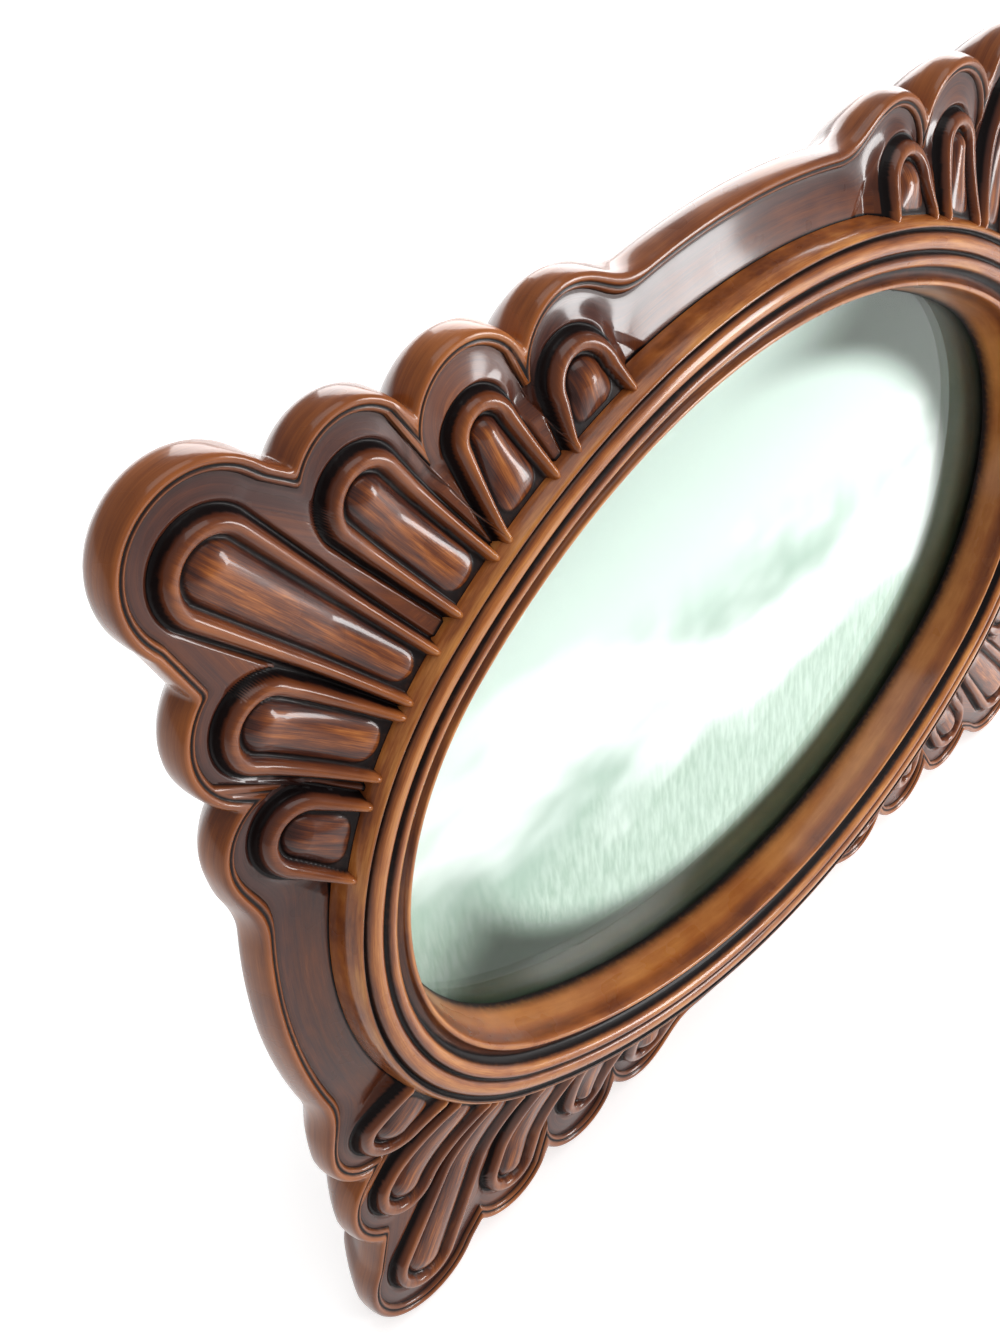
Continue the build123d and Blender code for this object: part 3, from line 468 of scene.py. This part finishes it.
def rim_and_wall(columns, inner_height):
    """The rim bead, the outer wall, the flat back, the pocket's walls and its ledge."""
    u, v, nu, nv, around = columns
    levels = [-RIM_WIDTH] + [level for level, height in RIM_SECTION]
    outline = reach(columns, 0.0)
    pocket = pocket_reach(u, v, nu, nv)
    runs = [reach(columns, level) for level in levels]
    in_shell = smooth(outline - RIM_WIDTH - FOOT_RUN, *SHELL_REACH)
    rail_swell = SIDE_RAIL_SWELL + (TOP_RAIL_SWELL - SIDE_RAIL_SWELL) * nv
    swell = rail_swell + (SCALLOP_SWELL - rail_swell) * in_shell
    runs += [outline + level + swell * share for level, height, share in WALL_SECTION]
    runs += [(runs[-1] + pocket) / 2, pocket, pocket, pocket * 0]
    heights = [row[1] for row in RIM_SECTION + WALL_SECTION]
    heights += [BACK_W, BACK_W, -LEDGE_DEPTH, -LEDGE_DEPTH]
    run = np.stack(runs)
    w = np.concatenate([inner_height[None], np.broadcast_to(np.array(heights)[:, None], (len(heights), len(u)))])
    distance = np.array(levels + [1.0] * (len(runs) - len(levels)))[:, None]
    depth = -np.array([0.0] + heights)[:, None]
    stain_and_shade = hump(distance, -1.3, 0.25) + 0.8 * hump(distance, -2.2, 0.3)
    tone = 0.54 + 0.06 * hump(distance, -0.6, 0.45)
    # Painted shade: the outer wall darkens towards the back
    tone = tone - 0.14 * smooth(depth, 3.0, 9.0)
    across = np.maximum(depth, -distance)
    return ring_piece(
        "rim_and_wall", u + nu * run, v + nv * run, w, np.clip(stain_and_shade, 0, 1), tone, around + 2000, across, 0.28
    )


def pocket_reach(u, v, nu, nv):
    """How far out along each column the pocket's straight edge lies, its corner kept sharp."""
    small = 1e-6
    along_u = (POCKET_HALF_WIDTH - u) / np.maximum(nu, small)
    along_v = (POCKET_HALF_HEIGHT - v) / np.maximum(nv, small)
    return np.minimum(along_u, along_v)


# The glass and the ribbon


def glass_sheet():
    """The glass, a hair clear of the ledge and the picture, with its edges ground."""
    half_width, half_height = SIGHT_HALF_WIDTH + GLASS_OVERLAP, SIGHT_HALF_HEIGHT + GLASS_OVERLAP
    front, back = GLASS_GAP - LEDGE_DEPTH - 2 * GLASS_GAP, GLASS_GAP - LEDGE_DEPTH - GLASS_THICKNESS
    rings = [
        (half_width - GLASS_ARRIS, half_height - GLASS_ARRIS, front),
        (half_width, half_height, front - GLASS_ARRIS),
        (half_width, half_height, back + GLASS_ARRIS),
        (half_width - GLASS_ARRIS, half_height - GLASS_ARRIS, back),
    ]
    signs = [(-1, -1), (1, -1), (1, 1), (-1, 1)]
    points = np.array([(a * su, b * sv, w) for a, b, w in rings for su, sv in signs])
    faces = [(0, 1, 2, 3), (15, 14, 13, 12)]
    for ring in range(len(rings) - 1):
        for side in range(4):
            near, far = 4 * ring + side, 4 * ring + (side + 1) % 4
            faces.append((near, near + 4, far + 4, far))
    mesh = bpy.data.meshes.new("glass_sheet")
    mesh.from_pydata(stand(*points.T).tolist(), [], faces)
    piece = bpy.data.objects.new("glass_sheet", mesh)
    bpy.context.scene.collection.objects.link(piece)
    piece.data.materials.append(clear_glass())
    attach(piece, "frame")
    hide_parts("glass_pane")


def ribbon_path():
    """Even steps along the ribbon's middle, its corners rounded."""
    corners = np.array(RIBBON_CORNERS)
    lengths = np.hypot(*np.diff(corners, axis=0).T)
    gone = np.concatenate([[0], np.cumsum(lengths)])
    steps = np.linspace(0, gone[-1], int(gone[-1] / RIBBON_STEP))
    path = np.stack([np.interp(steps, gone, corners[:, axis]) for axis in (0, 1)], -1)
    near = int(RIBBON_BEND / RIBBON_STEP)
    rounded = path.copy()
    for index in range(near, len(path) - near):
        rounded[index] = path[index - near : index + near + 1].mean(axis=0)
    return rounded, gone[-1]


def ribbon():
    """The woven ribbon between the back board and the leg."""
    path, length = ribbon_path()
    ahead = np.gradient(path, axis=0)
    ahead /= np.hypot(ahead[:, :1], ahead[:, 1:])
    aside = np.stack([-ahead[:, 1], ahead[:, 0]], -1)
    x = np.linspace(-1, 1, RIBBON_ACROSS + 1)
    half = RIBBON_THICKNESS / 2 * (1 - 0.5 * np.abs(x) ** 6)
    across = np.concatenate([x, x[::-1]]) * RIBBON_WIDTH / 2
    lift = np.concatenate([half, -half[::-1]])
    count = len(across)
    u = np.broadcast_to(across, (len(path), count))
    v = path[:, :1] + aside[:, :1] * lift
    w = path[:, 1:] + aside[:, 1:] * lift
    r, c = np.meshgrid(np.arange(len(path) - 1), np.arange(count), indexing="ij")
    d = (c + 1) % count
    faces = np.stack([r * count + c, r * count + d, (r + 1) * count + d, (r + 1) * count + c], -1)
    first = list(range(count))[::-1]
    last = [(len(path) - 1) * count + index for index in range(count)]
    mesh = bpy.data.meshes.new("ribbon")
    mesh.from_pydata(stand(u, v, w).reshape(-1, 3).tolist(), [], faces.reshape(-1, 4).tolist() + [first, last])
    mesh.polygons.foreach_set("use_smooth", np.ones(len(mesh.polygons), bool))
    weave = np.stack([u, np.broadcast_to(np.arange(len(path))[:, None] * RIBBON_STEP, u.shape), 0 * u], -1)
    layer = mesh.attributes.new("weave", "FLOAT_VECTOR", "POINT")
    layer.data.foreach_set("vector", weave.astype(np.float32).ravel())
    piece = bpy.data.objects.new("ribbon", mesh)
    bpy.context.scene.collection.objects.link(piece)
    piece.data.materials.append(woven_tape())
    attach(piece, "frame")
    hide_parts("ribbon_stay")
    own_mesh(piece)


# Materials


def material(name, **values):
    """A new material with its shader, constant values set on the shader itself."""
    made = bpy.data.materials.new(name)
    made.use_nodes = True
    shader = made.node_tree.nodes["Principled BSDF"]
    for key, value in values.items():
        shader.inputs[key.replace("_", " ")].default_value = value
    return made, made.node_tree, shader


def add(tree, kind, inputs=None, **settings):
    """A new node; inputs may be values or sockets to link."""
    node = tree.nodes.new(kind)
    for key, value in settings.items():
        setattr(node, key, value)
    for key, value in (inputs or {}).items():
        if isinstance(value, bpy.types.NodeSocket):
            tree.links.new(value, node.inputs[key])
        else:
            node.inputs[key].default_value = value
    return node


def mixed(tree, factor, a, b):
    """Mix of two colours."""
    node = add(tree, "ShaderNodeMix", data_type="RGBA")
    for index, value in ((0, factor), (6, a), (7, b)):
        if isinstance(value, bpy.types.NodeSocket):
            tree.links.new(value, node.inputs[index])
        else:
            node.inputs[index].default_value = value
    return node.outputs[2]


def maths(tree, operation, a, b=0.0):
    """One sum on two values."""
    return add(tree, "ShaderNodeMath", {0: a, 1: b}, operation=operation).outputs[0]


def swing(tree, value, amount):
    """A noise value about zero, times an amount."""
    return maths(tree, "MULTIPLY", maths(tree, "SUBTRACT", value, 0.5), amount)


def ranged(tree, value, low, high, to_low=0.0, to_high=1.0):
    """A value carried from one range to another, kept inside it."""
    inputs = {"Value": value, "From Min": low, "From Max": high, "To Min": to_low, "To Max": to_high}
    return add(tree, "ShaderNodeMapRange", inputs, interpolation_type="SMOOTHSTEP").outputs[0]


def noise(tree, vector, scale, detail=3.0, roughness=0.55):
    """Noise on a vector."""
    inputs = {"Vector": vector, "Scale": scale, "Detail": detail, "Roughness": roughness}
    return add(tree, "ShaderNodeTexNoise", inputs).outputs["Fac"]


def stretched(tree, vector, scale):
    """A vector scaled along its axes."""
    return add(tree, "ShaderNodeMapping", {"Vector": vector, "Scale": scale}).outputs[0]


def object_place(tree):
    """Place on the object, in metres."""
    return add(tree, "ShaderNodeTexCoord").outputs["Object"]


def along_axis(tree, axis):
    """Place along an axis from the frame's centre, in millimetres."""
    far = add(tree, "ShaderNodeVectorMath", {0: object_place(tree), 1: axis}, operation="DOT_PRODUCT").outputs["Value"]
    return maths(tree, "DIVIDE", maths(tree, "SUBTRACT", far, CENTRE.dot(axis)), MM)


def ramp(tree, value, stops):
    """Colours along a ramp."""
    node = add(tree, "ShaderNodeValToRGB", {"Fac": value})
    elements = node.color_ramp.elements
    elements[0].position, elements[0].color = stops[0]
    elements[1].position, elements[1].color = stops[-1]
    for place, colour in stops[1:-1]:
        elements.new(place).color = colour
    return node.outputs["Color"]


def antiqued_resin():
    """Cast resin, stained near black in its grooves, rubbed to copper on its crests, with brush streaks and lacquer;
    its darkening and tone attributes also carry painted shade in the channel by the rim, at the inner wall's foot and
    low on the outer wall.
    """
    made, tree, shader = material("antiqued_resin", Coat_Roughness=0.10, Specular_IOR_Level=0.18)
    flow = add(tree, "ShaderNodeAttribute", attribute_name="flow").outputs["Vector"]
    stain_and_shade = add(tree, "ShaderNodeAttribute", attribute_name="stain_and_shade").outputs["Fac"]
    tone = add(tree, "ShaderNodeAttribute", attribute_name="tone").outputs["Fac"]
    grain = add(tree, "ShaderNodeSeparateXYZ", {0: flow}).outputs["Z"]
    place = object_place(tree)
    streak = noise(tree, stretched(tree, flow, (0.10, 1.1, 0.0)), 1.0, 4.0, 0.6)
    hair = noise(tree, stretched(tree, flow, (0.16, 6.0, 0.0)), 1.0, 3.0, 0.6)
    cloud = noise(tree, place, 80.0, 3.0)
    speck = noise(tree, place, 900.0, 2.0)
    brushed_on = maths(tree, "ADD", swing(tree, streak, 0.95), swing(tree, hair, 0.5))
    level = maths(tree, "ADD", tone, maths(tree, "MULTIPLY", brushed_on, grain))
    level = maths(tree, "ADD", level, swing(tree, cloud, 0.30))
    level = maths(tree, "ADD", level, swing(tree, noise(tree, place, 26.0, 2.0), 0.36))
    stops = [
        (0.05, (0.016, 0.004, 0.003, 1)),
        (0.28, (0.078, 0.022, 0.014, 1)),
        (0.46, (0.190, 0.049, 0.014, 1)),
        (0.64, (0.405, 0.120, 0.026, 1)),
        (0.90, (0.720, 0.295, 0.074, 1)),
    ]
    worn = ramp(tree, level, stops)
    dark = maths(tree, "MULTIPLY", stain_and_shade, ranged(tree, speck, 0.2, 0.6, 0.85, 1.0))
    colour = mixed(tree, ranged(tree, dark, 0.12, 0.8), worn, (0.006, 0.0025, 0.0028, 1))
    tree.links.new(colour, shader.inputs["Base Color"])
    rough = maths(tree, "ADD", ranged(tree, cloud, 0.3, 0.7, 0.25, 0.36), maths(tree, "MULTIPLY", dark, 0.25))
    tree.links.new(rough, shader.inputs["Roughness"])
    tree.links.new(ranged(tree, dark, 0.1, 0.8, 0.5, 0.08), shader.inputs["Coat Weight"])
    fine = maths(tree, "MULTIPLY", maths(tree, "ADD", streak, hair), grain)
    height = maths(tree, "ADD", maths(tree, "MULTIPLY", fine, 0.35), maths(tree, "MULTIPLY", speck, 0.12))
    bump = add(tree, "ShaderNodeBump", {"Height": height, "Strength": 0.10, "Distance": 0.0004})
    tree.links.new(bump.outputs[0], shader.inputs["Normal"])
    return made


def clear_glass():
    """Clear glass that lets the lamps through to the picture."""
    made, tree, shader = material("clear_glass", Roughness=0.0, IOR=1.2, Transmission_Weight=1.0)
    shader.inputs["Base Color"].default_value = (0.97, 1.0, 0.985, 1)
    see = add(tree, "ShaderNodeBsdfTransparent")
    path = add(tree, "ShaderNodeLightPath")
    mix = add(tree, "ShaderNodeMixShader", {0: path.outputs["Is Shadow Ray"]})
    tree.links.new(shader.outputs[0], mix.inputs[1])
    tree.links.new(see.outputs[0], mix.inputs[2])
    tree.links.new(mix.outputs[0], tree.nodes["Material Output"].inputs["Surface"])
    return made


def meadow_print():
    """A pale misty hillside on paper: haze over soft green slopes, fading to near black green along the oval's edge
    away from the camera, part the print's dark edge and part painted shade and reflection of the frame's inner wall.
    """
    made, tree, shader = material("meadow_print", Roughness=0.6, Specular_IOR_Level=0.1)
    u = along_axis(tree, Vector((1, 0, 0)))
    v = along_axis(tree, UP)
    flat = add(tree, "ShaderNodeCombineXYZ", {0: u, 1: v}).outputs[0]
    roll = noise(tree, stretched(tree, flat, (0.022, 0.0, 0.0)), 1.0, 2.0, 0.5)
    far_roll = noise(tree, stretched(tree, flat, (0.035, 0.0, 0.0)), 1.0, 3.0, 0.5)
    grass = noise(tree, stretched(tree, flat, (0.9, 0.16, 0.0)), 1.0, 4.0, 0.65)
    mist = noise(tree, stretched(tree, flat, (0.020, 0.036, 0.0)), 1.0, 3.0, 0.5)
    sky = mixed(tree, ranged(tree, v, 5.0, 60.0), (0.68, 0.78, 0.72, 1), (0.48, 0.58, 0.52, 1))
    hills = maths(tree, "ADD", v, swing(tree, far_roll, 46.0))
    scene = mixed(tree, ranged(tree, hills, 22.0, 2.0), sky, (0.34, 0.46, 0.38, 1))
    meadow = mixed(tree, ranged(tree, grass, 0.3, 0.7), (0.34, 0.46, 0.37, 1), (0.53, 0.63, 0.55, 1))
    slope = maths(tree, "ADD", v, swing(tree, roll, 60.0))
    scene = mixed(tree, ranged(tree, slope, -4.0, -24.0), scene, meadow)
    haze = maths(tree, "SUBTRACT", mist, ranged(tree, maths(tree, "ABSOLUTE", v), 0.0, 46.0, 0.0, 0.35))
    scene = mixed(tree, ranged(tree, haze, 0.34, 0.56, 0.0, 0.95), scene, (0.93, 0.96, 0.94, 1))
    across = maths(tree, "POWER", maths(tree, "DIVIDE", u, SIGHT_HALF_WIDTH), 2.0)
    up = maths(tree, "POWER", maths(tree, "DIVIDE", v, SIGHT_HALF_HEIGHT), 2.0)
    rim = maths(tree, "SQRT", maths(tree, "ADD", across, up))
    low = maths(tree, "DIVIDE", v, -SIGHT_HALF_HEIGHT)
    lower_right = maths(tree, "ADD", maths(tree, "DIVIDE", u, SIGHT_HALF_WIDTH), low)
    # Dark band along the oval's edge away from the camera: part the print's dark green edge, part painted shade and
    # reflection of the frame's inner wall
    far_side = ranged(tree, lower_right, -0.9, -0.3, 0.0, 0.98)
    dark_edge_and_painted_shade = maths(tree, "MULTIPLY", ranged(tree, rim, 0.74, 0.86), far_side)
    scene = mixed(tree, dark_edge_and_painted_shade, scene, (0.006, 0.018, 0.005, 1))
    tree.links.new(scene, shader.inputs["Base Color"])
    return made


def plain(name, colours, scale, roughness, bump=0.1, **values):
    """A matt material of two colours in a fine mottle."""
    made, tree, shader = material(name, Roughness=roughness, **values)
    grain = noise(tree, object_place(tree), scale, 4.0, 0.6)
    tree.links.new(mixed(tree, ranged(tree, grain, 0.3, 0.7), *colours), shader.inputs["Base Color"])
    raised = add(tree, "ShaderNodeBump", {"Height": grain, "Strength": bump, "Distance": 0.0003})
    tree.links.new(raised.outputs[0], shader.inputs["Normal"])
    return made


def woven_tape():
    """Black tape in a fine rib weave."""
    made, tree, shader = material("woven_tape", Roughness=0.75, Sheen_Weight=0.3)
    weave = add(tree, "ShaderNodeAttribute", attribute_name="weave").outputs["Vector"]
    place = add(tree, "ShaderNodeSeparateXYZ", {0: weave}).outputs
    rib = maths(tree, "SINE", maths(tree, "MULTIPLY", place["Y"], 9.0))
    warp = maths(tree, "SINE", maths(tree, "MULTIPLY", place["X"], 14.0))
    cloth = maths(tree, "MULTIPLY", rib, warp)
    tree.links.new(
        mixed(tree, ranged(tree, cloth, -1.0, 1.0), (0.010, 0.010, 0.011, 1), (0.050, 0.049, 0.052, 1)),
        shader.inputs["Base Color"],
    )
    raised = add(tree, "ShaderNodeBump", {"Height": cloth, "Strength": 0.5, "Distance": 0.0001})
    tree.links.new(raised.outputs[0], shader.inputs["Normal"])
    return made


def brushed(name, colours, direction):
    """Plated metal with fine brush lines."""
    made, tree, shader = material(name, Metallic=1.0)
    lines = noise(tree, stretched(tree, object_place(tree), direction), 900.0, 3.0)
    tree.links.new(mixed(tree, lines, *colours), shader.inputs["Base Color"])
    tree.links.new(ranged(tree, lines, 0.2, 0.8, 0.22, 0.42), shader.inputs["Roughness"])
    return made


def dress():
    """Every node that the CAD carries over gets its material."""
    steel = brushed("nickel_plate", ((0.50, 0.50, 0.48, 1), (0.68, 0.68, 0.66, 1)), (0.06, 1.0, 1.0))
    brass = brushed("brass_plate", ((0.62, 0.45, 0.18, 1), (0.80, 0.62, 0.30, 1)), (1.0, 1.0, 0.2))
    flock = plain("black_flock", ((0.010, 0.009, 0.009, 1), (0.032, 0.029, 0.028, 1)), 1800.0, 0.95, 0.5)
    board = plain("fibre_board", ((0.27, 0.17, 0.09, 1), (0.42, 0.28, 0.16, 1)), 700.0, 0.8)
    card = plain("grey_card", ((0.38, 0.28, 0.18, 1), (0.52, 0.40, 0.27, 1)), 500.0, 0.9)
    worn = {
        "photo_print": meadow_print(),
        "filler_card": card,
        "back_board": board,
        "easel_leg": board,
        "back_board_flock": flock,
        "easel_leg_flock": flock,
        "hinge_board_rivets": brass,
        "hinge_leg_rivets": brass,
        "turn_button_screws": brass,
        "hanger_nails": brass,
    }
    for name, node in NODES.items():
        node.data.materials.clear()
        node.data.materials.append(worn.get(name, steel))


# Floor, light and camera

CAMERA_PLACE = (-151.28, 151.69, 113.46)
CAMERA_RIGHT = (0.698165, -0.123882, 0.705137)
CAMERA_DOWN = (-0.514026, -0.772304, 0.373262)
CAMERA_FORWARD = (0.498340, -0.623057, -0.602874)
PHOTO_HEIGHT_PIXELS = 1333
FOCAL_PIXELS = 1368.44
FLOOR_HALF = 4.0


def camera():
    """The camera, placed as the photograph's was."""
    data = bpy.data.cameras.new("camera")
    data.sensor_width = 36.0
    data.lens = FOCAL_PIXELS / PHOTO_HEIGHT_PIXELS * data.sensor_width
    data.clip_start = 0.01
    made = bpy.data.objects.new("camera", data)
    bpy.context.scene.collection.objects.link(made)
    place = CENTRE + turned(CAMERA_PLACE) * MM
    axes = Matrix((turned(CAMERA_RIGHT), -turned(CAMERA_DOWN), -turned(CAMERA_FORWARD))).transposed()
    made.matrix_world = Matrix.Translation(place) @ axes.to_4x4()
    bpy.context.scene.camera = made


def floor():
    """A plain white floor that shows white and keeps the object's shadow."""
    mesh = bpy.data.meshes.new("floor")
    corners = [(-FLOOR_HALF, -FLOOR_HALF, 0), (FLOOR_HALF, -FLOOR_HALF, 0), (FLOOR_HALF, FLOOR_HALF, 0)]
    mesh.from_pydata(corners + [(-FLOOR_HALF, FLOOR_HALF, 0)], [], [(0, 1, 2, 3)])
    made = bpy.data.objects.new("floor", mesh)
    bpy.context.scene.collection.objects.link(made)
    paint, tree, shader = material("floor_paint", Roughness=0.9)
    shader.inputs["Base Color"].default_value = (0.95, 0.95, 0.95, 1)
    shader.inputs["Emission Color"].default_value = (1, 1, 1, 1)
    tree.links.new(ranged(tree, seen(tree), 0, 1, 0.0, 0.5), shader.inputs["Emission Strength"])
    mesh.materials.append(paint)


def seen(tree):
    """1 for a ray that comes from the camera, or from a mirror or glass."""
    path = add(tree, "ShaderNodeLightPath").outputs
    direct = maths(tree, "MAXIMUM", path["Is Camera Ray"], path["Is Glossy Ray"])
    return maths(tree, "MAXIMUM", direct, path["Is Transmission Ray"])


def world():
    """An even pale room."""
    made = bpy.data.worlds.new("world")
    bpy.context.scene.world = made
    made.use_nodes = True
    back = made.node_tree.nodes["Background"]
    back.inputs["Color"].default_value = (1, 1, 1, 1)
    back.inputs["Strength"].default_value = 0.36


def lamp(name, place, aim, size, power):
    """A soft lamp, placed and aimed square to the picture, in millimetres."""
    data = bpy.data.lights.new(name, "AREA")
    data.shape = "RECTANGLE"
    data.size, data.size_y = size[0] * MM, size[1] * MM
    data.energy = power
    made = bpy.data.objects.new(name, data)
    bpy.context.scene.collection.objects.link(made)
    start = CENTRE + turned(place) * MM
    towards = CENTRE + turned(aim) * MM - start
    made.matrix_world = Matrix.Translation(start) @ towards.to_track_quat("-Z", "Y").to_matrix().to_4x4()


def lights():
    """A window to the right in front, a pale wall behind, and a soft ceiling."""
    lamp("window", (520, -10, 600), (0, 40, 0), (170, 420), 3.8)
    lamp("pale_wall", (640, 420, -480), (0, 0, 0), (800, 500), 7.0)
    lamp("ceiling", (150, 1150, 330), (0, 0, 0), (900, 900), 4.2)


columns = oval_columns()
resin = antiqued_resin()
shells, field_edge = shell_field(columns)
for casting in (oval_moulding(columns), *shells, rim_and_wall(columns, field_edge)):
    casting.data.materials.append(resin)
glass_sheet()
ribbon()
dress()
camera()
floor()
world()
lights()
bpy.context.scene.view_settings.view_transform = "Standard"
